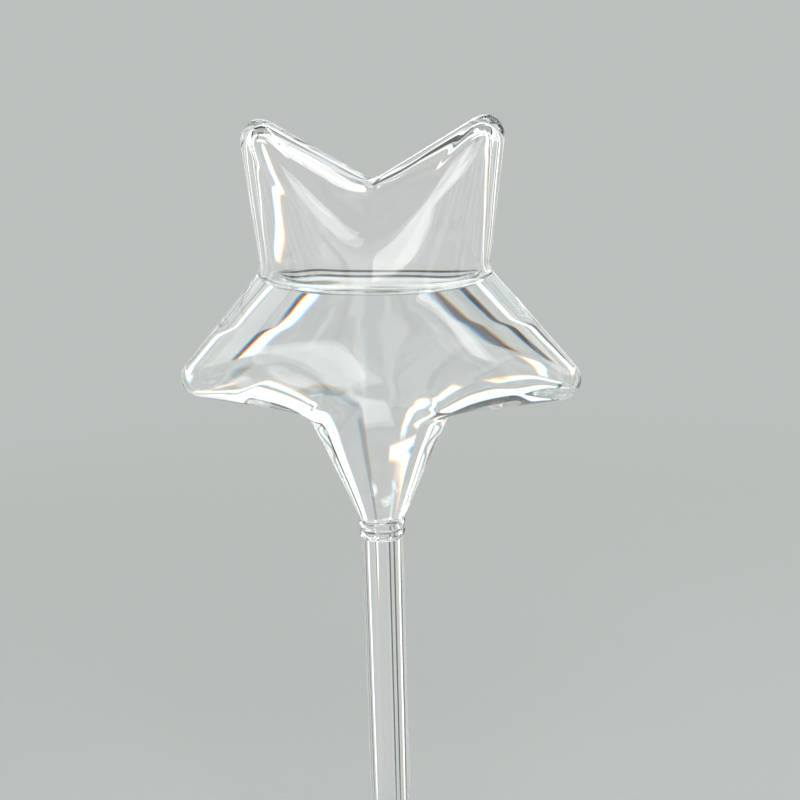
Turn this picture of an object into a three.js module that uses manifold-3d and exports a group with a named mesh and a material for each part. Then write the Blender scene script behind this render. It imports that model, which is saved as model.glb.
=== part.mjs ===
// Plant waterer of clear blown glass, filled and upside down as it stands in a pot: a hollow star
// bulb, the collar that welds it to a straight stem tube, and the water that it holds.
// Millimetres, +Z up. The origin is the middle of the stem's open lower end. The star lies flat
// in the XZ plane with its face towards -Y, and its heights are given from the star's centre.
import * as THREE from 'three';
import { mergeVertices } from 'three/addons/utils/BufferGeometryUtils.js';
import Module from 'manifold-3d';

// Stem tube
const STEM_LENGTH = 124;
const STEM_OD = 11;
const STEM_WALL = 1.5;
const STEM_TIP_ROUND = 0.4;

// Weld collar between the stem and the bulb's neck
const COLLAR_HEIGHT = 5.5;
const COLLAR_OD = 12.4;
const COLLAR_THROAT = 7;

// Star bulb seen from the front: two points up, two at the sides, and the neck pointing down
const TOP_TIP_SPAN = 64;
const TOP_TIP_RISE = 48.5;
const SIDE_TIP_SPAN = 106.5;
const SIDE_TIP_DROP = 20.8;
const TOP_NOTCH_RISE = 33.5;
const UPPER_NOTCH_SPAN = 60.4;
const UPPER_NOTCH_RISE = 10.4;
const LOWER_NOTCH_SPAN = 38.3;
const LOWER_NOTCH_DROP = 28.3;
const NECK_OD = 12;
const NECK_DROP = 57;
const TIP_ROUND = 5;
const NOTCH_ROUND = 2.5;

// Star bulb seen from the side: an oval that turns into a round funnel towards the neck
const BULB_DEPTH = 41;
const BELLY_DROP = 60;
const FUNNEL_START_DEG = 48;
const FUNNEL_ROUND_DEG = 70;

// Glass of the bulb
const BULB_WALL = 1.6;
const TIP_EXTRA_GLASS = 1.5;

// Water
const WATER_LEVEL = 5;
const WATER_END = 8;
const WATER_CLEARANCE = 0.4;

// Facets: steps round the axis, and along each stretch of an outline
const ROUND_STEPS = 36;
const TIP_STEPS = 8;
const NOTCH_STEPS = 4;
const STRAIGHT_STEPS = 4;
const EDGE_STEPS = 3;
const COLLAR_STEPS = 5;

const COLLAR_TOP = STEM_LENGTH + COLLAR_HEIGHT;
const STAR_CENTRE = COLLAR_TOP + NECK_DROP;
const STEM_BORE = STEM_OD - 2 * STEM_WALL;
const NECK_BORE = NECK_OD - 2 * BULB_WALL;

const wasm = await Module();
wasm.setup();

// A point of the star: the outline runs round the outside of this circle. The glass may be
// thicker behind it, which sets the circle of an inner wall further back.
function tipCorner(x, z, inset, setback) {
  const end = new THREE.Vector2(x, z);
  const centre = end.clone().setLength(end.length() - TIP_ROUND - setback);
  return { centre, radius: TIP_ROUND - inset, side: 1, steps: TIP_STEPS };
}

// A notch between two points: the outline dips round the near side of this circle.
function notchCorner(x, z, inset) {
  const bottom = new THREE.Vector2(x, z);
  const centre = bottom.clone().setLength(bottom.length() + NOTCH_ROUND);
  return { centre, radius: NOTCH_ROUND + inset, side: -1, steps: NOTCH_STEPS };
}

// The heading of the straight run that leaves one corner's circle and touches the next one's.
function tangentHeading(from, to) {
  const between = to.centre.clone().sub(from.centre);
  const shift = to.side * to.radius - from.side * from.radius;
  return between.angle() - Math.asin(shift / between.length());
}

// The point of a corner's circle where the outline has this heading.
function cornerPoint(corner, heading) {
  const out = new THREE.Vector2(Math.sin(heading), -Math.cos(heading));
  return corner.centre.clone().addScaledVector(out, corner.side * corner.radius);
}

// The right half of the star's outline, from the edge of the neck up to the bottom of the top
// notch, set in by a wall: arcs at the points and notches, joined by their common tangents.
function starOutline(inset, setback) {
  const neck = { centre: new THREE.Vector2(NECK_OD / 2 - inset, -NECK_DROP), radius: 0, side: 1 };
  const corners = [
    neck,
    notchCorner(LOWER_NOTCH_SPAN / 2, -LOWER_NOTCH_DROP, inset),
    tipCorner(SIDE_TIP_SPAN / 2, -SIDE_TIP_DROP, inset, setback),
    notchCorner(UPPER_NOTCH_SPAN / 2, UPPER_NOTCH_RISE, inset),
    tipCorner(TOP_TIP_SPAN / 2, TOP_TIP_RISE, inset, setback),
    notchCorner(0, TOP_NOTCH_RISE, inset),
  ];
  const headings = corners.slice(1).map((corner, i) => tangentHeading(corners[i], corner));
  headings.push(Math.PI);
  const points = [neck.centre];
  corners.slice(1).forEach((corner, i) => {
    const start = points.at(-1).clone();
    const arrival = cornerPoint(corner, headings[i]);
    for (let k = 1; k < STRAIGHT_STEPS; k++) {
      points.push(start.clone().lerp(arrival, k / STRAIGHT_STEPS));
    }
    for (let k = 0; k <= corner.steps; k++) {
      const heading = THREE.MathUtils.lerp(headings[i], headings[i + 1], k / corner.steps);
      points.push(cornerPoint(corner, heading));
    }
  });
  return points;
}

// How far the bulb's front lies from the star's centre in the direction of an outline point:
// on an oval as deep as the bulb, which becomes as wide as the outline down in the funnel.
function frontReach(point, inset) {
  const reach = point.length();
  const halfDepth = BULB_DEPTH / 2 - inset;
  const height = (point.y > 0 ? TOP_NOTCH_RISE : BELLY_DROP) - inset;
  const oval = halfDepth / Math.hypot(point.x / reach, (halfDepth * point.y) / (reach * height));
  const drop = THREE.MathUtils.radToDeg(Math.asin(-point.y / reach));
  const roundness = THREE.MathUtils.smoothstep(drop, FUNNEL_START_DEG, FUNNEL_ROUND_DEG);
  return THREE.MathUtils.lerp(oval, reach, roundness);
}

// The loop of the bulb's wall through an outline point: it swings from the outline at the right,
// over the front and the left, to the back, at one slope as seen from the star's centre.
function bulbRing(point, inset) {
  const reach = point.length();
  const front = frontReach(point, inset);
  return Array.from({ length: ROUND_STEPS }, (_, k) => {
    const turn = (2 * Math.PI * k) / ROUND_STEPS;
    const across = Math.cos(turn);
    const deep = Math.sin(turn);
    return new THREE.Vector3(
      point.x * across,
      ((front * point.x) / reach) * deep,
      STAR_CENTRE + (point.y / reach) * Math.hypot(reach * across, front * deep),
    );
  });
}

// A wall of the bulb: its loops from the neck upwards and the single point under the top notch.
function bulbWall(inset, setback) {
  const points = starOutline(inset, setback);
  const summit = points.pop();
  return {
    rings: points.map((point) => bulbRing(point, inset)),
    summit: new THREE.Vector3(0, 0, STAR_CENTRE + summit.y),
  };
}

// A level circle about the axis, with its points in step with the bulb's loops.
function levelRing(radius, z) {
  return Array.from({ length: ROUND_STEPS }, (_, k) => {
    const turn = (2 * Math.PI * k) / ROUND_STEPS;
    return new THREE.Vector3(radius * Math.cos(turn), radius * Math.sin(turn), z);
  });
}

// A closed body from loops that run from one end point to another, with its faces outwards when
// the loops turn to the left as seen from the end point that they come to last.
function closedBody(firstEnd, rings, lastEnd) {
  const vertices = [firstEnd, ...rings.flat(), lastEnd];
  const index = [];
  const at = (ring, k) => 1 + ring * ROUND_STEPS + (k % ROUND_STEPS);
  for (let k = 0; k < ROUND_STEPS; k++) {
    index.push(0, at(0, k + 1), at(0, k));
    for (let ring = 0; ring < rings.length - 1; ring++) {
      index.push(at(ring, k), at(ring, k + 1), at(ring + 1, k + 1));
      index.push(at(ring, k), at(ring + 1, k + 1), at(ring + 1, k));
    }
    index.push(at(rings.length - 1, k), at(rings.length - 1, k + 1), vertices.length - 1);
  }
  const geometry = new THREE.BufferGeometry().setFromPoints(vertices);
  geometry.setIndex(index);
  return geometry;
}

// The shared part of two closed bodies.
function sharedBody(first, second) {
  const solids = [first, second].map((geometry) => {
    const bare = geometry.clone();
    bare.deleteAttribute('normal');
    bare.deleteAttribute('uv');
    const merged = mergeVertices(bare);
    const vertProperties = new Float32Array(merged.attributes.position.array);
    const triVerts = new Uint32Array(merged.index.array);
    return new wasm.Manifold(new wasm.Mesh({ numProp: 3, vertProperties, triVerts }));
  });
  const mesh = solids[0].intersect(solids[1]).getMesh();
  const geometry = new THREE.BufferGeometry();
  geometry.setAttribute('position', new THREE.BufferAttribute(mesh.vertProperties, 3));
  geometry.setIndex(new THREE.BufferAttribute(mesh.triVerts, 1));
  return geometry;
}

// A ring-shaped body turned about the axis from a closed profile of (radius, height) points.
function turned(profile) {
  return new THREE.LatheGeometry(profile, ROUND_STEPS).rotateX(Math.PI / 2);
}

function starBulb() {
  const outer = bulbWall(0, 0);
  const inner = bulbWall(BULB_WALL, TIP_EXTRA_GLASS);
  const fromSummitToNeck = inner.rings.toReversed();
  return closedBody(inner.summit, [...fromSummitToNeck, ...outer.rings], outer.summit);
}

// A fat fused ring: outside it bulges past the neck and rounds off onto the stem, and inside it
// narrows the passage to a throat.
function weldCollar() {
  const middle = STEM_LENGTH + COLLAR_HEIGHT / 2;
  const bulge = new THREE.Path();
  bulge.moveTo(STEM_OD / 2, STEM_LENGTH);
  bulge.quadraticCurveTo(COLLAR_OD / 2, STEM_LENGTH, COLLAR_OD / 2, middle);
  bulge.quadraticCurveTo(COLLAR_OD / 2, COLLAR_TOP, NECK_OD / 2, COLLAR_TOP);
  const throat = new THREE.Path();
  throat.moveTo(NECK_BORE / 2, COLLAR_TOP);
  throat.quadraticCurveTo(COLLAR_THROAT / 2, COLLAR_TOP, COLLAR_THROAT / 2, middle);
  throat.quadraticCurveTo(COLLAR_THROAT / 2, STEM_LENGTH, STEM_BORE / 2, STEM_LENGTH);
  const profile = [...bulge.getPoints(COLLAR_STEPS), ...throat.getPoints(COLLAR_STEPS)];
  profile.push(profile[0].clone());
  return turned(profile);
}

function stemTube() {
  const outer = STEM_OD / 2;
  const inner = STEM_BORE / 2;
  const round = STEM_TIP_ROUND;
  const profile = new THREE.Path();
  profile.moveTo(inner + round, 0);
  profile.lineTo(outer - round, 0);
  profile.quadraticCurveTo(outer, 0, outer, round);
  profile.lineTo(outer, STEM_LENGTH);
  profile.lineTo(inner, STEM_LENGTH);
  profile.lineTo(inner, round);
  profile.quadraticCurveTo(inner, 0, inner + round, 0);
  return turned(profile.getPoints(EDGE_STEPS));
}

// The water stands in the stem, runs up through the throat and fills the bulb to its level.
function waterFill() {
  const column = STEM_BORE / 2 - WATER_CLEARANCE;
  const waist = COLLAR_THROAT / 2 - WATER_CLEARANCE;
  const body = bulbWall(BULB_WALL + WATER_CLEARANCE, TIP_EXTRA_GLASS);
  const rings = [
    levelRing(column, WATER_END),
    levelRing(column, STEM_LENGTH - WATER_CLEARANCE),
    levelRing(waist, STEM_LENGTH),
    levelRing(waist, COLLAR_TOP),
    ...body.rings,
  ];
  const full = closedBody(new THREE.Vector3(0, 0, WATER_END), rings, body.summit);
  const height = STAR_CENTRE + WATER_LEVEL;
  const below = new THREE.BoxGeometry(2 * SIDE_TIP_SPAN, 2 * BULB_DEPTH, height);
  return sharedBody(full, below.translate(0, 0, height / 2));
}

function clearFinish(color, opacity) {
  return new THREE.MeshStandardMaterial({ color, opacity, transparent: true, roughness: 0.03, metalness: 0 });
}

function piece(name, geometry, material) {
  const mesh = new THREE.Mesh(geometry, material);
  mesh.name = name;
  return mesh;
}

const waterer = new THREE.Group();
waterer.add(
  piece('star_bulb', starBulb(), clearFinish(0xf3faf6, 0.3)),
  piece('neck_weld_collar', weldCollar(), clearFinish(0xeef7f3, 0.35)),
  piece('stem_tube', stemTube(), clearFinish(0xf0f8f4, 0.3)),
  piece('water_fill', waterFill(), clearFinish(0xe2efec, 0.4)),
);

export default waterer;
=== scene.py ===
"""Dresses a star-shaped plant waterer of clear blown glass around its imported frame.

The waterer stands upside down, as it does in a pot: a hollow star bulb, the weld collar under its
neck, a straight stem tube, and the water inside. Each of the four is a closed surface worked out
on a grid of loops, in metres, in the frame's own axes: +Z up, the star's face towards -Y and the
origin in the middle of the stem's lower end.
"""

from __future__ import annotations

import logging
import math
from dataclasses import dataclass
from enum import Enum

import bpy
import numpy as np
from mathutils import Matrix, Vector

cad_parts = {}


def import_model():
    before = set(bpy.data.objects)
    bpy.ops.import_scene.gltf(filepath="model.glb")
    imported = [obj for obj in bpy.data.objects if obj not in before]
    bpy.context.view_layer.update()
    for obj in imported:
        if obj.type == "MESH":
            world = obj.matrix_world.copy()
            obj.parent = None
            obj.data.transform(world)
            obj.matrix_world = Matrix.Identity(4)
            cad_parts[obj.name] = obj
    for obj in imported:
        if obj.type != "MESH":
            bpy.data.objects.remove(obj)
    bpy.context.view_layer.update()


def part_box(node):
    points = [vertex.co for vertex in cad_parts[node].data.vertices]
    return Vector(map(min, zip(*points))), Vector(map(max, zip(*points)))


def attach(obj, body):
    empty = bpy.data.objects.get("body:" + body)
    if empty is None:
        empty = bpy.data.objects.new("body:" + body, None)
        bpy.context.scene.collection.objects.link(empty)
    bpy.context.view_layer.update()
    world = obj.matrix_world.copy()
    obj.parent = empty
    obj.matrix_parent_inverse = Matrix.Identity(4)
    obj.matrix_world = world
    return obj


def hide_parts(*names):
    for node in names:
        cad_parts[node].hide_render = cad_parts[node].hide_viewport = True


LOG = logging.getLogger("waterer")
MM = 0.001
SHARP_ANGLE = math.radians(50)


class Slot(Enum):
    """The record's two material slots."""

    GLASS = "clear_glass"
    WATER = "water"


class Corner(Enum):
    """The two kinds of corner of the star's outline."""

    TIP = "tip"
    NOTCH = "notch"


def smoothstep(value: np.ndarray, low: float, high: float) -> np.ndarray:
    """Eases from 0 at low to 1 at high, by t * t * (3 - 2 t) on the clamped share t.

    Args:
        value: The values to ease.
        low: Where the step begins.
        high: Where the step ends.

    Returns:
        The eased shares, from 0 to 1.
    """
    share = np.clip((value - low) / (high - low), 0.0, 1.0)
    return share * share * (3.0 - 2.0 * share)


def bezier(start: tuple, pull: tuple, end: tuple, steps: int) -> np.ndarray:
    """Samples a quadratic curve: (1 - t)^2 start + 2 t (1 - t) pull + t^2 end.

    Args:
        start: First point, as (radius, height).
        pull: The point that the curve bends towards.
        end: Last point.
        steps: Number of steps along the curve.

    Returns:
        An array of steps + 1 points.
    """
    t = np.linspace(0.0, 1.0, steps + 1)[:, None]
    return (1 - t) ** 2 * np.array(start) + 2 * t * (1 - t) * np.array(pull) + t**2 * np.array(end)


def straight(start: tuple, end: tuple, steps: int) -> np.ndarray:
    """Samples a straight run of steps + 1 points from start to end."""
    return np.linspace(np.array(start, float), np.array(end, float), steps + 1)


def even_turns(steps: int) -> np.ndarray:
    """Shares a full turn out into equal steps, as angles in radians from 0 on."""
    return np.arange(steps) * (2 * np.pi / steps)


def turned(profile: np.ndarray, turns: np.ndarray) -> np.ndarray:
    """Turns a profile about the Z axis: (r cos t, r sin t, z).

    Args:
        profile: Points of (radius, height).
        turns: Angles round the axis, in radians.

    Returns:
        Loops of points, one loop for each profile point.
    """
    radius = profile[:, 0:1]
    height = np.broadcast_to(profile[:, 1:2], (len(profile), len(turns)))
    return np.stack([radius * np.cos(turns), radius * np.sin(turns), height], axis=-1)


def loop_mesh(name: str, loops: np.ndarray, ends: np.ndarray | None = None) -> bpy.types.Object:
    """Skins loops of points into a closed mesh whose faces point outwards.

    Neighbouring loops are joined by four-sided faces. Two end points close the first and the last
    loop with fans of triangles, and without them the last loop joins up with the first, as on a
    ring. Loops turn to the left as seen from the last one.

    Args:
        name: Name of the object and its mesh.
        loops: Array of loops, points and coordinates.
        ends: The first and the last end point, or None for a ring-shaped body.

    Returns:
        The object, linked to the scene.
    """
    rows, columns, _ = loops.shape
    index = np.arange(rows * columns).reshape(rows, columns)
    nexts = np.roll(index, -1, axis=1)
    if ends is None:
        lower, lower_next = index, nexts
        upper, upper_next = np.roll(index, -1, axis=0), np.roll(nexts, -1, axis=0)
    else:
        lower, lower_next, upper, upper_next = index[:-1], nexts[:-1], index[1:], nexts[1:]
    faces = np.stack([lower, lower_next, upper_next, upper], axis=-1).reshape(-1, 4).tolist()
    points = loops.reshape(-1, 3)
    if ends is not None:
        first = np.full(columns, len(points))
        faces += np.stack([first, nexts[0], index[0]], axis=-1).tolist()
        faces += np.stack([index[-1], nexts[-1], first + 1], axis=-1).tolist()
        points = np.concatenate([points, ends])
    mesh = bpy.data.meshes.new(name)
    mesh.from_pydata(points, [], faces)
    mesh.polygons.foreach_set("use_smooth", np.ones(len(mesh.polygons), dtype=bool))
    mesh.set_sharp_from_angle(angle=SHARP_ANGLE)
    mesh.update()
    piece = bpy.data.objects.new(name, mesh)
    bpy.context.scene.collection.objects.link(piece)
    return piece


class NodeGraph:
    """A short way to add shader nodes to a tree and to link them."""

    def __init__(self, tree: bpy.types.NodeTree) -> None:
        """Starts an empty tree."""
        self.tree = tree
        self.tree.nodes.clear()

    def add(self, kind: str, settings: dict | None = None, **sockets: object) -> bpy.types.Node:
        """Adds a node.

        Args:
            kind: Blender's name of the node type.
            settings: Values of the node's own properties.
            **sockets: Inputs by name, with _ for a space: a value, or an output socket to link.

        Returns:
            The new node.
        """
        node = self.tree.nodes.new(kind)
        for key, value in (settings or {}).items():
            setattr(node, key, value)
        for key, value in sockets.items():
            socket = node.inputs[key.replace("_", " ")]
            if isinstance(value, bpy.types.NodeSocket):
                self.tree.links.new(value, socket)
            else:
                socket.default_value = value
        return node

    def math(self, operation: str, first: object, second: object = 0.0) -> bpy.types.NodeSocket:
        """Adds a math node.

        Args:
            operation: The node's operation.
            first: A number or a socket.
            second: A number or a socket.

        Returns:
            The node's result.
        """
        node = self.tree.nodes.new("ShaderNodeMath")
        node.operation = operation
        for socket, value in zip(node.inputs, (first, second)):
            if isinstance(value, bpy.types.NodeSocket):
                self.tree.links.new(value, socket)
            else:
                socket.default_value = value
        return node.outputs[0]

    def ramp(self, value: object, source: tuple, target: tuple) -> bpy.types.NodeSocket:
        """Adds a smooth step from one range to another.

        Args:
            value: The socket to map.
            source: The low and high end of its range.
            target: What the ends become.

        Returns:
            The mapped value.
        """
        node = self.add(
            "ShaderNodeMapRange",
            {"interpolation_type": "SMOOTHSTEP"},
            Value=value,
            From_Min=source[0],
            From_Max=source[1],
            To_Min=target[0],
            To_Max=target[1],
        )
        return node.outputs["Result"]

    def blended(self, base: object, change: object, share: object) -> bpy.types.NodeSocket:
        """Passes from one value to another: base + (change - base) share.

        Args:
            base: The value at a share of 0.
            change: The value at a share of 1.
            share: The share.

        Returns:
            The blended value.
        """
        step = self.math("MULTIPLY", self.math("SUBTRACT", change, base), share)
        return self.math("ADD", base, step)

    def mixed(self, share: object, first: bpy.types.Node, second: bpy.types.Node) -> bpy.types.Node:
        """Mixes two shaders.

        Args:
            share: Share of the second shader.
            first: The shader at a share of 0.
            second: The shader at a share of 1.

        Returns:
            The mixing node.
        """
        mix = self.add("ShaderNodeMixShader", Fac=share)
        self.tree.links.new(first.outputs[0], mix.inputs[1])
        self.tree.links.new(second.outputs[0], mix.inputs[2])
        return mix


@dataclass(frozen=True)
class ClearFinish:
    """A clear, wet-looking finish: light passes through, bends and is faintly taken up.

    Attributes:
        name: Name of the material.
        ior: Refractive index.
        tint: Colour of what passes the surface.
        specular_tint: Colour of the mirror image at a straight look.
        depth_colour: Colour that the light takes on its way through.
        depth_density: How fast it takes it, per metre.
        haze: Least and most roughness, which soft clouds mix.
        cloud_scale: Clouds per metre.
        cloud_range: Cloud values that the haze runs between.
        ripple_scale: Ripples of the surface per metre.
        ripple_height: Height of the ripples in metres.
        ripple_strength: Share of the ripples that shows.
    """

    name: str
    ior: float
    tint: tuple = (1.0, 1.0, 1.0, 1.0)
    specular_tint: tuple = (1.0, 1.0, 1.0, 1.0)
    depth_colour: tuple = (0.6, 0.85, 0.75, 1.0)
    depth_density: float = 5.0
    haze: tuple = (0.0, 0.012)
    cloud_scale: float = 40.0
    cloud_range: tuple = (0.35, 0.7)
    ripple_scale: float = 70.0
    ripple_height: float = 0.4 * MM
    ripple_strength: float = 0.12

    def material(self) -> bpy.types.Material:
        """Builds the node material.

        Returns:
            The material, with roughness and bump from noise on Object coordinates.
        """
        material = bpy.data.materials.new(self.name)
        material.use_nodes = True
        graph = NodeGraph(material.node_tree)
        place = graph.add("ShaderNodeTexCoord").outputs["Object"]
        clouds = graph.add("ShaderNodeTexNoise", Vector=place, Scale=self.cloud_scale, Detail=3.0)
        ripples = graph.add("ShaderNodeTexNoise", Vector=place, Scale=self.ripple_scale, Detail=1.0)
        bump = graph.add(
            "ShaderNodeBump",
            Height=ripples.outputs["Fac"],
            Distance=self.ripple_height,
            Strength=self.ripple_strength,
        )
        surface = graph.add(
            "ShaderNodeBsdfPrincipled",
            Base_Color=self.tint,
            Roughness=graph.ramp(clouds.outputs["Fac"], self.cloud_range, self.haze),
            IOR=self.ior,
            Transmission_Weight=1.0,
            Specular_Tint=self.specular_tint,
            Normal=bump.outputs["Normal"],
        )
        depth = graph.add(
            "ShaderNodeVolumeAbsorption", Color=self.depth_colour, Density=self.depth_density
        )
        graph.add(
            "ShaderNodeOutputMaterial",
            Surface=surface.outputs["BSDF"],
            Volume=depth.outputs["Volume"],
        )
        return material


GLASS = ClearFinish(name="clear_blown_glass", ior=1.47)
WATER = ClearFinish(
    name="clear_water",
    ior=1.333,
    specular_tint=(0.25, 0.25, 0.25, 1.0),
    depth_colour=(0.55, 0.9, 0.85, 1.0),
    depth_density=1.6,
    haze=(0.0, 0.004),
    ripple_scale=110.0,
    ripple_strength=0.04,
)


@dataclass(frozen=True)
class Levels:
    """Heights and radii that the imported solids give, in metres.

    Attributes:
        stem_radius: Outer radius of the stem tube.
        stem_top: Height where the stem ends and the collar begins.
        collar_radius: Widest radius of the weld collar.
        collar_top: Height where the collar ends and the bulb's neck begins.
        water_foot: Height of the water's lower end in the stem.
        water_level: Height of the flat water surface.
    """

    stem_radius: float
    stem_top: float
    collar_radius: float
    collar_top: float
    water_foot: float
    water_level: float

    @classmethod
    def from_frame(cls) -> Levels:
        """Reads the sizes from the boxes of the CAD nodes.

        Returns:
            The sizes.
        """
        stem_low, stem_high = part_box("stem_tube")
        collar_low, collar_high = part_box("neck_weld_collar")
        water_low, water_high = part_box("water_fill")
        return cls(
            stem_radius=stem_high.x,
            stem_top=stem_high.z,
            collar_radius=collar_high.x,
            collar_top=collar_high.z,
            water_foot=water_low.z,
            water_level=water_high.z,
        )


@dataclass
class StarShape:
    """The hollow star's form: an outline in the XZ plane that swells towards front and back.

    Heights are measured from the star's centre.

    Attributes:
        centre_height: Height of the star's centre above the stem's lower end.
        top_tip: Right upper point, as (x, z).
        side_tip: Right side point.
        top_notch: Bottom of the notch between the upper points.
        upper_notch: Right notch under the upper point.
        lower_notch: Right notch under the side point.
        neck_radius: Outer radius of the neck.
        neck_drop: Drop from the centre to the neck's end.
        tip_round: Radius of a point's round end.
        notch_round: Radius of a notch's bottom.
        half_depth: Reach of the front from the centre.
        belly_drop: Height of the lower half of the oval seen from the side.
        funnel_start: Slope below the centre where the oval begins to turn round, in degrees.
        funnel_round: Slope where it is round.
        waist: Slopes between which the oval passes from the belly to the top, in degrees.
        wall: Thickness of the glass.
        tip_glass: Extra thickness behind a point.
        ripple: Height of the blown waves, as a share of the reach.
        ripple_fade: Half widths between which the waves come in above the neck.
        inner_phase: Shift of the inner wall's waves.
        melt: How far the molten glass has rounded its outline off.
        melt_reach: Reach of the rounding, in melts.
        melt_samples: Samples of the outline in a melt.
        arc_steps: Steps round a point or a notch.
        bend_weight: How much closer the rows lie in bends, in metres.
        rows: Grid rows from the neck to the top notch.
        columns: Grid steps round a loop.
    """

    centre_height: float
    top_tip: tuple = (32.0 * MM, 48.5 * MM)
    side_tip: tuple = (53.25 * MM, -20.8 * MM)
    top_notch: tuple = (0.0, 33.5 * MM)
    upper_notch: tuple = (30.2 * MM, 10.4 * MM)
    lower_notch: tuple = (19.15 * MM, -28.3 * MM)
    neck_radius: float = 6.0 * MM
    neck_drop: float = 57.0 * MM
    tip_round: float = 5.0 * MM
    notch_round: float = 2.5 * MM
    half_depth: float = 20.5 * MM
    belly_drop: float = 60.0 * MM
    funnel_start: float = 48.0
    funnel_round: float = 70.0
    waist: tuple = (-15.0, 15.0)
    wall: float = 1.6 * MM
    tip_glass: float = 1.5 * MM
    ripple: float = 0.0022
    ripple_fade: tuple = (6.0 * MM, 16.0 * MM)
    inner_phase: float = 1.9
    melt: float = 1.2 * MM
    melt_reach: int = 4
    melt_samples: int = 16
    arc_steps: int = 60
    bend_weight: float = 4.0 * MM
    rows: int = 250
    columns: int = 192

    def turns(self) -> np.ndarray:
        """Gives the angles round a loop, closer together at the points: t = s - sin(2 s) / 4."""
        even = even_turns(self.columns)
        return even - 0.25 * np.sin(2 * even)

    def corner(self, kind: Corner, end: tuple, inset: float, setback: float) -> tuple:
        """Places the circle that the outline follows at a point or a notch.

        Args:
            kind: Point or notch.
            end: The outermost place of a point, or the bottom of a notch.
            inset: How far the outline is set in.
            setback: Extra distance behind a point.

        Returns:
            The circle's centre, and its radius with the sign of its side.
        """
        place = np.array(end)
        reach = np.hypot(*place)
        if kind is Corner.TIP:
            centre = place * (reach - self.tip_round - setback) / reach
            return centre, self.tip_round - inset
        centre = place * (reach + self.notch_round) / reach
        return centre, -(self.notch_round + inset)

    def outline(self, inset: float, setback: float) -> np.ndarray:
        """Follows the right half of the star from the neck up to the bottom of the top notch.

        The points and notches are arcs, sampled by their heading h as
        centre + radius (sin h, -cos h), and common tangents of neighbouring circles join them.

        Args:
            inset: How far the outline is set in from the outer one.
            setback: Extra glass behind a point.

        Returns:
            Points of (x, z) from the star's centre.
        """
        kinds = (Corner.NOTCH, Corner.TIP, Corner.NOTCH, Corner.TIP, Corner.NOTCH)
        ends = (self.lower_notch, self.side_tip, self.upper_notch, self.top_tip, self.top_notch)
        circles = [(np.array([self.neck_radius - inset, -self.neck_drop]), 0.0)]
        circles += [self.corner(kind, end, inset, setback) for kind, end in zip(kinds, ends)]
        headings = []
        for (start, start_radius), (end, end_radius) in zip(circles, circles[1:]):
            way = end - start
            lean = math.asin((end_radius - start_radius) / np.hypot(*way))
            headings.append(math.atan2(way[1], way[0]) % (2 * np.pi) - lean)
        headings.append(np.pi)
        runs = [circles[0][0][None, :]]
        for (centre, radius), first, last in zip(circles[1:], headings, headings[1:]):
            heading = np.linspace(first, last, self.arc_steps + 1)
            runs.append(centre + radius * np.stack([np.sin(heading), -np.cos(heading)], axis=-1))
        return self.melted(np.concatenate(runs))

    def melted(self, corners: np.ndarray) -> np.ndarray:
        """Rounds an outline off, as surface tension does, and shares its rows out.

        The outline is sampled evenly, carried on past the neck along its own line and past the
        top notch as its mirror image, and averaged with a bell curve of the width melt. The rows
        lie closer together where the heading changes fast.

        Args:
            corners: Points of the outline with its arcs and straight runs.

        Returns:
            The rounded outline, as rows + 1 points that begin and end where it did.
        """
        spacing = self.melt / self.melt_samples
        beyond = self.melt_reach * self.melt
        path = np.concatenate([2 * corners[0] - corners[1:2], corners, corners[-2::-1] * (-1, 1)])
        along = np.concatenate([[0.0], np.cumsum(np.hypot(*np.diff(path, axis=0).T))])
        neck, summit = along[1], along[len(corners)]
        even = np.arange(neck - beyond, summit + beyond, spacing)
        samples = np.stack([np.interp(even, along, path[:, axis]) for axis in (0, 1)], axis=-1)
        span = self.melt_reach * self.melt_samples
        bell = np.exp(-((np.arange(-span, span + 1) / self.melt_samples) ** 2) / 2)
        bell = bell / bell.sum()
        soft = np.stack([np.convolve(samples[:, axis], bell, "valid") for axis in (0, 1)], axis=-1)
        heading = np.unwrap(np.arctan2(*np.diff(soft, axis=0).T[::-1]))
        density = 1 + self.bend_weight * np.abs(np.gradient(heading, spacing))
        station = np.concatenate([[0.0], np.cumsum(density)])
        rows = np.linspace(0.0, station[-1], self.rows + 1)
        outline = np.stack([np.interp(rows, station, soft[:, axis]) for axis in (0, 1)], axis=-1)
        outline[-1, 0] = 0.0
        return outline

    def front_reach(self, points: np.ndarray, inset: float) -> np.ndarray:
        """Gives the reach of the bulb's front in the direction of each outline point.

        It lies on an oval, half_depth deep, whose height passes from the belly's to the top
        notch's, and which becomes as wide as the outline down in the funnel.

        Args:
            points: Outline points of (x, z).
            inset: How far the wall is set in.

        Returns:
            The reaches in metres.
        """
        reach = np.hypot(points[:, 0], points[:, 1])
        slope = np.degrees(np.arcsin(points[:, 1] / reach))
        deep = self.half_depth - inset
        upper = smoothstep(slope, *self.waist)
        height = self.belly_drop + (self.top_notch[1] - self.belly_drop) * upper - inset
        oval = deep / np.hypot(points[:, 0] / reach, deep * points[:, 1] / (reach * height))
        roundness = smoothstep(-slope, self.funnel_start, self.funnel_round)
        return oval + (reach - oval) * roundness

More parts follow.
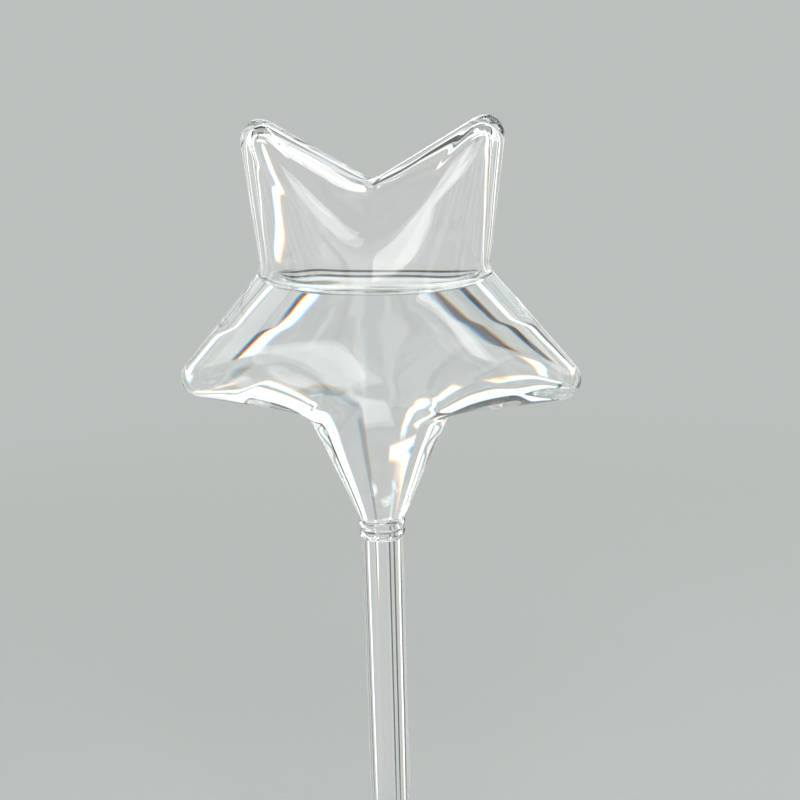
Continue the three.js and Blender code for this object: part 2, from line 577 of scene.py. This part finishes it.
    def loops(self, points: np.ndarray, inset: float, phase: float = 0.0) -> np.ndarray:
        """Swings the outline round to the front, the far side and the back.

        Each loop keeps its slope as seen from the star's centre: with the outline's reach R and
        the front's reach F, its point at turn t is (x cos t, F x / R sin t,
        z / R hypot(R cos t, F sin t)). Long low waves of the blown wall are added to the reach.

        Args:
            points: Outline points of (x, z).
            inset: How far the wall is set in.
            phase: Shifts the waves, so that two walls differ.

        Returns:
            Loops of points in the frame.
        """
        turn = self.turns()[None, :]
        across, deep = np.cos(turn), np.sin(turn)
        x, z = points[:, 0:1], points[:, 1:2]
        reach = np.hypot(x, z)
        front = self.front_reach(points, inset)[:, None]
        slope = np.arcsin(z / reach)
        wave = (
            np.sin(3 * turn + 0.7 + phase) * np.cos(5 * slope + 0.4)
            + 0.6 * np.sin(5 * turn - 1.1 + 3 * slope + phase)
            + 0.5 * np.cos(2 * turn + 7 * slope - phase)
            + 0.3 * np.sin(9 * turn + 4 * slope + phase) * np.cos(11 * slope - 2 * phase)
        )
        swell = 1 + self.ripple * wave * smoothstep(x, *self.ripple_fade)
        return np.stack(
            [
                x * across * swell,
                front * x / reach * deep * swell,
                self.centre_height + z / reach * np.hypot(reach * across, front * deep) * swell,
            ],
            axis=-1,
        )


@dataclass
class StarBulb:
    """The hollow glass star, open at its neck.

    Attributes:
        shape: The star's form.
        weld_depth: How far the neck's end is melted into the collar.
    """

    shape: StarShape
    weld_depth: float = 0.4 * MM

    def build(self) -> bpy.types.Object:
        """Skins the inner wall from the summit down to the neck, and the outer wall back up.

        Returns:
            The bulb.
        """
        inner = self.shape.outline(self.shape.wall, self.shape.tip_glass)
        outer = self.shape.outline(0.0, 0.0)
        inner_loops = self.shape.loops(inner[:-1], self.shape.wall, phase=self.shape.inner_phase)
        outer_loops = self.shape.loops(outer[:-1], 0.0)
        drop = np.array([0.0, 0.0, -self.weld_depth])
        rims = np.stack([inner_loops[0] + drop, outer_loops[0] + drop])
        loops = np.concatenate([inner_loops[::-1], rims, outer_loops])
        summits = np.zeros((2, 3))
        summits[:, 2] = self.shape.centre_height + np.array([inner[-1, 1], outer[-1, 1]])
        return loop_mesh("star_bulb_glass", loops, summits)


@dataclass
class WeldCollar:
    """The fat fused ring where neck and stem meet: two beads of glass that ran together.

    Attributes:
        levels: Sizes that the frame gives.
        neck_radius: Outer radius of the neck.
        neck_bore: Inner radius of the neck.
        stem_bore: Inner radius of the stem.
        bead_depth: How far a bead narrows the passage.
        bead_places: Middles of the beads, as shares of the height.
        bead_width: Width of a bead, as a share of the height.
        groove: Depth of the furrow between the beads on the outside.
        shoulder: Share of the height that the round shoulders take.
        unevenness: How far the hand-made ring is out of round, as a share of its radius.
        even_ends: Share of the height over which it comes in at either end.
        tilt: How far the beads run up and down round the axis.
        steps: Grid steps along a profile.
        columns: Grid steps round the axis.
    """

    levels: Levels
    neck_radius: float
    neck_bore: float
    stem_bore: float
    bead_depth: float = 0.75 * MM
    bead_places: tuple = (0.27, 0.74)
    bead_width: float = 0.13
    groove: float = 0.22 * MM
    shoulder: float = 0.33
    unevenness: float = 0.011
    even_ends: float = 0.25
    tilt: float = 0.22 * MM
    steps: int = 48
    columns: int = 128

    def shares(self) -> np.ndarray:
        """Gives the shares of the height, from the stem up to the neck."""
        return np.linspace(0.0, 1.0, self.steps + 1)

    def bell(self, middle: float) -> np.ndarray:
        """Gives a bell curve over the height: exp(-((share - middle) / width)^2)."""
        return np.exp(-(((self.shares() - middle) / self.bead_width) ** 2))

    def passage(self, clearance: float = 0.0) -> np.ndarray:
        """Follows the passage upwards, from the stem's bore to the neck's, past the two beads.

        Args:
            clearance: How far the profile is set towards the axis.

        Returns:
            Points of (radius, height).
        """
        low, high = self.levels.stem_top, self.levels.collar_top
        share = self.shares()
        beads = sum(self.bell(middle) for middle in self.bead_places)
        bore = self.stem_bore + (self.neck_bore - self.stem_bore) * share
        radius = bore - self.bead_depth * beads - clearance
        return np.stack([radius, low + (high - low) * share], axis=-1)

    def outside(self) -> np.ndarray:
        """Follows the outside upwards: a round shoulder, a furrow and another round shoulder.

        A shoulder is a quarter of an oval: sqrt(1 - (1 - s)^2), with s from 0 to 1 along it.

        Returns:
            Points of (radius, height).
        """
        low, high = self.levels.stem_top, self.levels.collar_top
        share = self.shares()
        lower, upper = (
            np.sqrt(1 - (1 - np.clip(way / self.shoulder, 0.0, 1.0)) ** 2)
            for way in (share, 1 - share)
        )
        wide, stem = self.levels.collar_radius, self.levels.stem_radius
        radius = stem + (wide - stem) * lower + (self.neck_radius - wide) * (1 - upper)
        furrow = self.groove * self.bell(sum(self.bead_places) / 2)
        return np.stack([radius - furrow, low + (high - low) * share], axis=-1)

    def build(self) -> bpy.types.Object:
        """Turns the outside and the passage into a ring, a little uneven as hand-made glass is.

        Returns:
            The collar.
        """
        profile = np.concatenate([self.outside(), self.passage()[::-1]])
        turn = even_turns(self.columns)
        loops = turned(profile, turn)
        share = np.concatenate([self.shares(), self.shares()[::-1]])
        ends = self.even_ends
        inside = smoothstep(share, 0.0, ends) * smoothstep(1 - share, 0.0, ends)
        lump = np.sin(2 * turn + 0.6) + 0.6 * np.sin(3 * turn + 2.1)
        loops[:, :, :2] *= 1 + self.unevenness * (inside[:, None] * lump[None, :])[:, :, None]
        sway = np.sin(turn + 0.9) + 0.5 * np.sin(3 * turn)
        loops[:, :, 2] += self.tilt * inside[:, None] * sway
        return loop_mesh("neck_weld_collar_glass", loops)


@dataclass
class StemTube:
    """The straight tube with a fire-polished lower end.

    Attributes:
        levels: Sizes that the frame gives.
        wall: Thickness of the tube.
        tip_round: Radius of the lower end's edges.
        weld_depth: How far the upper end is melted into the collar.
        steps: Grid steps along a straight side and round an edge.
        columns: Grid steps round the axis.
    """

    levels: Levels
    wall: float = 1.5 * MM
    tip_round: float = 0.4 * MM
    weld_depth: float = 0.4 * MM
    steps: tuple = (60, 8)
    columns: int = 96

    @property
    def bore(self) -> float:
        """Inner radius of the tube."""
        return self.levels.stem_radius - self.wall

    def build(self) -> bpy.types.Object:
        """Turns the wall's section, with its two rounded lower edges, about the axis.

        Returns:
            The tube.
        """
        outer, inner, edge = self.levels.stem_radius, self.bore, self.tip_round
        top = self.levels.stem_top + self.weld_depth
        along, around = self.steps
        profile = np.concatenate(
            [
                bezier((outer - edge, 0.0), (outer, 0.0), (outer, edge), around),
                straight((outer, edge), (outer, top), along)[1:],
                straight((inner, top), (inner, edge), along),
                bezier((inner, edge), (inner, 0.0), (inner + edge, 0.0), around)[1:],
            ]
        )
        return loop_mesh("stem_tube_glass", turned(profile, even_turns(self.columns)))


@dataclass
class WaterFill:
    """The water: a column in the stem, the throat, and the bulb up to its level.

    It wets the glass, so its skin lies a hair inside the wall and no air shows between them.

    Attributes:
        shape: The star's form.
        collar: The weld collar, for its throat.
        stem: The stem tube, for its bore.
        levels: Sizes that the frame gives.
        wetting: How far the skin reaches into the glass.
        climb: How far the water climbs up the glass at its edge.
        corner_climb: How much further it climbs in the narrow ends, at the side notches.
        corner_power: How sharply that climb is kept to the ends.
        capillary: The capillary length of water.
        least_rise: Least rise in the table of the capillary curve, in capillary lengths.
        table_rows: Rows of that table.
        foot_bulge: How far the lower end bulges down in the stem.
        steps: Grid steps in the foot, the stem, the bulb's last stretch and the free surface.
        edge_ease: How much closer the surface's loops lie at its edge.
    """

    shape: StarShape
    collar: WeldCollar
    stem: StemTube
    levels: Levels
    wetting: float = 0.1 * MM
    climb: float = 3.7 * MM
    corner_climb: float = 0.1 * MM
    corner_power: int = 12
    capillary: float = 2.7 * MM
    least_rise: float = 1e-4
    table_rows: int = 400
    foot_bulge: float = 0.9 * MM
    steps: tuple = (8, 30, 40, 40)
    edge_ease: float = 2.2

    def column(self) -> np.ndarray:
        """Follows the water's skin from the bulging foot up the stem and through the throat.

        Returns:
            Points of (radius, height), upwards.
        """
        in_foot, in_stem, _, _ = self.steps
        radius = self.stem.bore + self.wetting
        share = np.linspace(0.0, 1.0, in_foot + 1)[1:]
        sag = self.foot_bulge * (1 - share**2)
        foot = np.stack([radius * share, self.levels.water_foot - sag], axis=-1)
        rise = straight(foot[-1], (radius, self.levels.stem_top), in_stem)[1:]
        return np.concatenate([foot, rise[:-1], self.collar.passage(-self.wetting)])

    def edge_climb(self) -> np.ndarray:
        """Gives the climb of the water's edge: climb + corner climb |cos t|^power."""
        sideways = np.abs(np.cos(self.shape.turns()))
        return self.climb + self.corner_climb * sideways**self.corner_power

    def capillary_rise(self, distance: np.ndarray) -> np.ndarray:
        """Gives the rise of the free surface over its level.

        A wall of glass draws the water up along one curve: with the capillary length a, the rise h
        is found at the distance F(h) - F(climb), F(h) = a arcosh(2 a / h) - sqrt(4 a^2 - h^2).
        F is tabulated and read backwards.

        Args:
            distance: Distances from the glass, with a column for each column of the grid.

        Returns:
            The rises in metres.
        """
        climb = self.edge_climb()
        heights = np.geomspace(climb.max(), self.least_rise * self.capillary, self.table_rows)
        width = 2 * self.capillary
        table = self.capillary * np.arccosh(width / heights) - np.sqrt(width**2 - heights**2)
        start = np.interp(climb, heights[::-1], table[::-1])
        return np.interp(distance + start, table, heights, right=0.0)

    def bulb_loops(self) -> tuple[np.ndarray, np.ndarray]:
        """Follows the bulb's inner wall up to the edge of the water.

        The outline is a polyline with a running number; on each column the number at which the
        wall passes the edge's height is found by linear interpolation, and the last stretch is
        shared out evenly up to it.

        Returns:
            The loops on the wall, and the edge of the water as one loop.
        """
        inset = self.shape.wall - self.wetting
        outline = self.shape.outline(inset, self.shape.tip_glass)[1:-1]
        wall = self.shape.loops(outline, inset, phase=self.shape.inner_phase)
        edge_height = self.levels.water_level + self.edge_climb()
        wet = wall[:, :, 2] < edge_height
        full_rows = int(np.argmin(wet.all(axis=1)))
        above = np.argmin(wet, axis=0)
        column = np.arange(wall.shape[1])
        low, high = wall[above - 1, column, 2], wall[above, column, 2]
        edge_row = above - 1 + (edge_height - low) / (high - low)
        start = full_rows - 1
        share = np.linspace(0.0, 1.0, self.steps[2] + 1)[1:, None]
        row = start + (edge_row - start)[None, :] * share
        base = np.floor(row).astype(int)
        part = (row - base)[:, :, None]
        last = wall[base, column] * (1 - part) + wall[base + 1, column] * part
        return np.concatenate([wall[: start + 1], last]), last[-1]

    def surface_loops(self, edge: np.ndarray) -> np.ndarray:
        """Draws the free surface from its edge towards the axis.

        At the share s of the way from the axis, (1 - s) of the edge's reach is left to the glass,
        and the surface is drawn up by that distance's capillary rise.

        Args:
            edge: The edge of the water.

        Returns:
            Loops of points, the outermost first.
        """
        share = 1 - np.linspace(0.0, 1.0, self.steps[3] + 1)[1:-1, None] ** self.edge_ease
        reach = np.hypot(edge[:, 0], edge[:, 1])[None, :]
        lift = self.capillary_rise((1 - share) * reach)
        return np.stack(
            [share * edge[:, 0], share * edge[:, 1], self.levels.water_level + lift], axis=-1
        )

    def build(self) -> bpy.types.Object:
        """Joins the column, the wetted wall and the free surface into one closed skin.

        Returns:
            The water.
        """
        column = turned(self.column(), self.shape.turns())
        wall, edge = self.bulb_loops()
        loops = np.concatenate([column, wall, self.surface_loops(edge)])
        ends = np.zeros((2, 3))
        ends[:, 2] = (self.levels.water_foot - self.foot_bulge, self.levels.water_level)
        return loop_mesh("water_fill_body", loops, ends)


@dataclass(frozen=True)
class SoftBox:
    """A rectangular lamp that looks at one place.

    Attributes:
        name: Name of the lamp.
        place: Where it stands, in metres.
        aim: What it looks at.
        size: Its width and height.
        power: Its power in watts.
    """

    name: str
    place: tuple
    aim: tuple
    size: tuple
    power: float

    def build(self) -> None:
        """Adds the lamp, which the camera itself doesn't see."""
        lamp = bpy.data.lights.new(self.name, "AREA")
        lamp.shape = "RECTANGLE"
        lamp.size, lamp.size_y = self.size
        lamp.energy = self.power
        box = bpy.data.objects.new(self.name, lamp)
        way = Vector(self.aim) - Vector(self.place)
        facing = way.to_track_quat("-Z", "Y").to_matrix().to_4x4()
        box.matrix_world = Matrix.Translation(self.place) @ facing
        box.visible_camera = False
        bpy.context.scene.collection.objects.link(box)


@dataclass(frozen=True)
class Camera:
    """The view of the photograph, as it was fitted to the star's points and notches.

    Attributes:
        azimuth: Turn to the right of the star's front, in degrees.
        elevation: Rise above the level, in degrees.
        roll: Turn about the line of sight, in degrees.
        distance: Distance to the target, in metres.
        target: The point in the middle of the picture.
        lens: Focal length in millimetres.
        sensor: Width of the sensor in millimetres.
        nearest: Nearest distance that shows.
    """

    azimuth: float = 9.5
    elevation: float = 13.0
    roll: float = -1.54
    distance: float = 0.4486
    target: tuple = (0.0057, 0.0, 0.1617)
    lens: float = 76.5
    sensor: float = 36.0
    nearest: float = 0.01

    def build(self) -> None:
        """Adds the camera and makes it the scene's own."""
        turn, rise = math.radians(self.azimuth), math.radians(self.elevation)
        back = Vector(
            (math.sin(turn) * math.cos(rise), -math.cos(turn) * math.cos(rise), math.sin(rise))
        )
        right = Vector((math.cos(turn), math.sin(turn), 0.0))
        up = back.cross(right)
        roll = Matrix.Rotation(math.radians(self.roll), 3, "Z")
        axes = Matrix((right, up, back)).transposed() @ roll
        data = bpy.data.cameras.new("view")
        data.lens = self.lens
        data.sensor_width = self.sensor
        data.clip_start = self.nearest
        camera = bpy.data.objects.new("view", data)
        camera.matrix_world = (
            Matrix.Translation(Vector(self.target) + back * self.distance) @ axes.to_4x4()
        )
        bpy.context.scene.collection.objects.link(camera)
        bpy.context.scene.camera = camera


@dataclass(frozen=True)
class Card:
    """A ring of upright cards round the waterer, which draw lines along the rims of clear glass.

    Attributes:
        turn: Direction of the first card, in degrees.
        light: Brightness of the cards.
        edge: Where a card's soft edge begins and ends, in degrees from its middle.
        foot: Where its soft foot begins and ends, as sines of the angle above the level.
        head: Where its soft head begins and ends.
        count: Number of cards in the ring.
        mirrored: Whether only mirror images show the cards.
    """

    turn: float
    light: float
    edge: tuple
    foot: tuple = (-0.7, -0.4)
    head: tuple = (0.4, 0.7)
    count: int = 8
    mirrored: bool = False


@dataclass(frozen=True)
class Band:
    """A level strip in the room, which draws lines along the lower rims and the water line.

    Attributes:
        rise: Height of its middle, as the sine of the angle above the level.
        light: Brightness of the strip.
        edge: Where its soft edge begins and ends, from its middle.
        turn: Direction of its middle, in degrees.
        spread: Where its soft ends begin and end, in degrees from its middle.
    """

    rise: float
    light: float
    edge: tuple
    turn: float = 0.0
    spread: tuple = (190.0, 191.0)


@dataclass
class Studio:
    """Pale floor, soft lamps and the pale room round them.

    Attributes:
        pale: Colour of the floor, and of the room as the camera sees it.
        floor_size: Radius of the floor.
        floor_middle: Radius of its innermost ring.
        floor_steps: Grid steps round the floor and outwards.
        floor_grain: Grains of the floor per metre.
        floor_haze: Its least and most roughness, which the grains mix.
        floor_gloss: Its specular level.
        floor_fade: Radii between which the floor passes into the room for the camera.
        near_fade: The same for what is seen through the glass or mirrored in it.
        below_light: Brightness of the room below the level.
        wall_light: Brightness of its white walls.
        ceiling_light: Brightness overhead.
        wall_foot: Where the walls' soft foot begins and ends, as sines of the angle of rise.
        wall_head: Where their soft head begins and ends.
        cards: The rings of cards. A later one covers those before it.
        bands: The level strips, which the cards cover.
        boxes: The lamps.
        tint: Colour of the room's light.
        fringe: How far red light sees the room turned, in degrees, and raised, as in thick glass.
            Blue light sees it turned and raised the other way.
        light_bounces: How often a ray may bounce, enough for the thick glass in the points.
    """

    pale: tuple = (0.50, 0.525, 0.51, 1.0)
    floor_size: float = 12.0
    floor_middle: float = 0.05
    floor_steps: tuple = (96, 8)
    floor_grain: float = 300.0
    floor_haze: tuple = (0.75, 0.9)
    floor_gloss: float = 0.2
    floor_fade: tuple = (0.25, 0.7)
    near_fade: tuple = (0.04, 0.14)
    below_light: float = 0.58
    wall_light: float = 1.2
    ceiling_light: float = 0.45
    wall_foot: tuple = (0.13, 0.15)
    wall_head: tuple = (0.45, 0.6)
    cards: tuple = (
        Card(26.0, 0.06, (0.6, 1.6)),
        Card(26.0, below_light, (2.0, 3.0), foot=(-0.24, -0.19), head=(0.12, 0.14), count=1),
        Card(20.5, 1.2, (5.5, 6.5), foot=(0.05, 0.07), head=(0.11, 0.12)),
        Card(19.0, 0.1, (0.5, 1.4), head=(-0.24, -0.19)),
        Card(19.5, 1.5, (0.7, 1.6), foot=(-0.17, -0.13), head=(-0.02, 0.07)),
        Card(3.5, 0.36, (0.5, 1.6), foot=(-0.12, -0.07), head=(0.1, 0.14), count=1),
        Card(-13.0, 1.6, (2.5, 5.0), foot=(-0.15, -0.1), count=4),
        Card(-12.0, 1.6, (0.8, 1.8), head=(-0.15, -0.1), count=4),
        Card(36.0, 1.6, (1.2, 2.6), count=4),
        Card(2.6, 1.6, (0.7, 1.2), foot=(-0.34, -0.31), head=(-0.21, -0.18), count=1),
        Card(1.0, 0.1, (0.3, 0.7), foot=(-0.34, -0.31), head=(-0.21, -0.18), count=1),
        Card(40.0, 0.08, (1.7, 2.5), foot=(-0.52, -0.48), head=(-0.33, -0.29), count=1),
        Card(15.0, 3.0, (11.0, 12.0), foot=(0.2, 0.22), head=(0.73, 0.75), count=4, mirrored=True),
    )
    bands: tuple = (
        Band(rise=0.21, light=0.5, edge=(0.012, 0.024)),
        Band(rise=0.50, light=0.06, edge=(0.03, 0.045)),
        Band(rise=0.155, light=below_light, edge=(0.03, 0.04), turn=26.0, spread=(13.0, 15.0)),
        Band(rise=0.48, light=0.05, edge=(0.09, 0.105), turn=26.0, spread=(13.0, 15.0)),
        Band(rise=-0.52, light=0.06, edge=(0.03, 0.055), turn=14.0, spread=(8.0, 11.0)),
        Band(rise=-0.71, light=0.06, edge=(0.03, 0.05), turn=17.0, spread=(9.0, 12.0)),
        Band(rise=-0.90, light=0.95, edge=(0.10, 0.14)),
        Band(rise=-0.94, light=0.06, edge=(0.03, 0.045)),
    )
    boxes: tuple = (
        SoftBox("key_window", (0.27, -1.00, 0.79), (0.0, 0.0, 0.19), (0.92, 0.8), 7.0),
        SoftBox("top_panel", (0.25, 0.35, 1.30), (0.0, 0.0, 0.18), (0.8, 0.25), 5.0),
    )
    tint: tuple = (0.97, 1.0, 0.98)
    fringe: tuple = (0.25, 0.005)
    light_bounces: int = 32

    def floor(self) -> None:
        """Lays a pale disc under the waterer, which passes softly into the room."""
        around, outwards = self.floor_steps
        radii = straight((self.floor_middle, 0.0), (self.floor_size, 0.0), outwards)
        rings = turned(radii, even_turns(around))[::-1]
        rows, columns, _ = rings.shape
        index = np.arange(rows * columns).reshape(rows, columns)
        nexts = np.roll(index, -1, axis=1)
        quads = np.stack([index[:-1], nexts[:-1], nexts[1:], index[1:]], axis=-1).reshape(-1, 4)
        mesh = bpy.data.meshes.new("floor")
        mesh.from_pydata(rings.reshape(-1, 3), [], quads.tolist() + [index[-1].tolist()])
        material = bpy.data.materials.new("pale_floor")
        material.use_nodes = True
        graph = NodeGraph(material.node_tree)
        place = graph.add("ShaderNodeTexCoord").outputs["Object"]
        grain = graph.add("ShaderNodeTexNoise", Vector=place, Scale=self.floor_grain, Detail=2.0)
        surface = graph.add(
            "ShaderNodeBsdfPrincipled",
            Base_Color=self.pale,
            Roughness=graph.ramp(grain.outputs["Fac"], (0.3, 0.7), self.floor_haze),
            Specular_IOR_Level=self.floor_gloss,
        )
        length = graph.add("ShaderNodeVectorMath", {"operation": "LENGTH"}, Vector=place)
        away = length.outputs["Value"]
        rays = graph.add("ShaderNodeLightPath").outputs
        beyond = graph.ramp(away, self.floor_fade, (0.0, 1.0))
        far = graph.math("MULTIPLY", beyond, rays["Is Camera Ray"])
        through = graph.math("MAXIMUM", rays["Is Transmission Ray"], rays["Is Glossy Ray"])
        open_share = graph.math("MULTIPLY", graph.ramp(away, self.near_fade, (0.0, 1.0)), through)
        shade = graph.add("ShaderNodeEmission", Color=self.pale, Strength=1.0)
        clear = graph.add("ShaderNodeBsdfTransparent")
        seen = graph.mixed(far, surface, shade)
        graph.add(
            "ShaderNodeOutputMaterial", Surface=graph.mixed(open_share, seen, clear).outputs[0]
        )
        mesh.materials.append(material)
        floor = bpy.data.objects.new("floor", mesh)
        bpy.context.scene.collection.objects.link(floor)

    def level(
        self, graph: NodeGraph, turn: object, rise: object, mirror: object
    ) -> bpy.types.NodeSocket:
        """Works out how bright the room is in a direction.

        With n cards in a ring, a card's middle lies where cos(n (turn - first turn)) is 1.

        Args:
            graph: The room's nodes.
            turn: The direction's turn round the waterer.
            rise: Sine of its angle above the level.
            mirror: 1 for what the glass mirrors, and 0 for the rest.

        Returns:
            The brightness.
        """
        wall = graph.ramp(rise, self.wall_foot, (self.below_light, self.wall_light))
        ceiling = graph.ramp(rise, self.wall_head, (0.0, self.ceiling_light - self.wall_light))
        level = graph.math("ADD", wall, ceiling)
        for band in self.bands:
            away = graph.math("ABSOLUTE", graph.math("SUBTRACT", rise, band.rise))
            aside = graph.math("ABSOLUTE", graph.math("SUBTRACT", turn, math.radians(band.turn)))
            ends = tuple(math.radians(angle) for angle in band.spread)
            long = graph.ramp(aside, ends, (1.0, 0.0))
            share = graph.math("MULTIPLY", graph.ramp(away, band.edge, (1.0, 0.0)), long)
            level = graph.blended(level, band.light, share)
        for card in self.cards:
            phase = graph.math("SUBTRACT", turn, math.radians(card.turn))
            wave = graph.math("COSINE", graph.math("MULTIPLY", phase, float(card.count)))
            inner, outer = (math.cos(math.radians(edge * card.count)) for edge in card.edge)
            wide = graph.ramp(wave, (outer, inner), (0.0, 1.0))
            foot = graph.ramp(rise, card.foot, (0.0, 1.0))
            head = graph.ramp(rise, card.head, (1.0, 0.0))
            share = graph.math("MULTIPLY", wide, graph.math("MULTIPLY", foot, head))
            if card.mirrored:
                share = graph.math("MULTIPLY", share, mirror)
            level = graph.blended(level, card.light, share)
        return level

    def room(self) -> None:
        """Puts a pale room round the waterer, with white walls, cards and strips.

        Red, green and blue light see it in slightly different directions, which gives the lines
        in the glass their coloured fringes. The camera itself sees a plain pale room.
        """
        world = bpy.data.worlds.new("room")
        world.use_nodes = True
        graph = NodeGraph(world.node_tree)
        rays = graph.add("ShaderNodeLightPath").outputs
        mirror = graph.math("GREATER_THAN", rays["Is Glossy Ray"], rays["Is Transmission Ray"])
        way = graph.add("ShaderNodeTexCoord").outputs["Generated"]
        axes = graph.add("ShaderNodeSeparateXYZ", Vector=way).outputs
        turn = graph.math("ARCTAN2", graph.math("MULTIPLY", axes["X"], -1.0), axes["Y"])
        lights = {}
        for name, side, tint in zip(("Red", "Green", "Blue"), (1.0, 0.0, -1.0), self.tint):
            turn_seen = graph.math("ADD", turn, math.radians(side * self.fringe[0]))
            rise_seen = graph.math("ADD", axes["Z"], side * self.fringe[1])
            level = self.level(graph, turn_seen, rise_seen, mirror)
            lights[name] = graph.math("MULTIPLY", level, tint)
        colour = graph.add("ShaderNodeCombineColor", **lights).outputs["Color"]
        shade = graph.add("ShaderNodeBackground", Color=colour, Strength=1.0)
        flat = graph.add("ShaderNodeBackground", Color=self.pale, Strength=1.0)
        seen = graph.mixed(rays["Is Camera Ray"], shade, flat)
        graph.add("ShaderNodeOutputWorld", Surface=seen.outputs[0])
        bpy.context.scene.world = world

    def build(self) -> None:
        """Sets the view transform and the light paths, and adds floor, room and lamps."""
        scene = bpy.context.scene
        scene.view_settings.view_transform = "Standard"
        scene.cycles.max_bounces = self.light_bounces
        scene.cycles.transmission_bounces = self.light_bounces
        scene.cycles.glossy_bounces = self.light_bounces
        self.floor()
        self.room()
        for box in self.boxes:
            box.build()


def dress(piece: bpy.types.Object, finish: bpy.types.Material, node: str) -> None:
    """Gives a piece its finish and ties it to the frame.

    Args:
        piece: The piece.
        finish: Its material.
        node: The CAD node that it stands for.
    """
    piece.data.materials.append(finish)
    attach(piece, "root")
    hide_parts(node)
    LOG.info("%s: %d faces, for %s", piece.name, len(piece.data.polygons), node)


def main() -> None:
    """Loads the frame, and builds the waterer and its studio."""
    logging.basicConfig(level=logging.INFO, format="%(name)s %(message)s")
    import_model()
    Camera().build()
    Studio().build()
    levels = Levels.from_frame()
    shape = StarShape(centre_height=levels.collar_top + StarShape.neck_drop)
    stem = StemTube(levels)
    collar = WeldCollar(levels, shape.neck_radius, shape.neck_radius - shape.wall, stem.bore)
    water = WaterFill(shape, collar, stem, levels)
    glass = GLASS.material()
    dress(StarBulb(shape).build(), glass, "star_bulb")
    dress(collar.build(), glass, "neck_weld_collar")
    dress(stem.build(), glass, "stem_tube")
    dress(water.build(), WATER.material(), "water_fill")


if __name__ == "__main__":
    main()
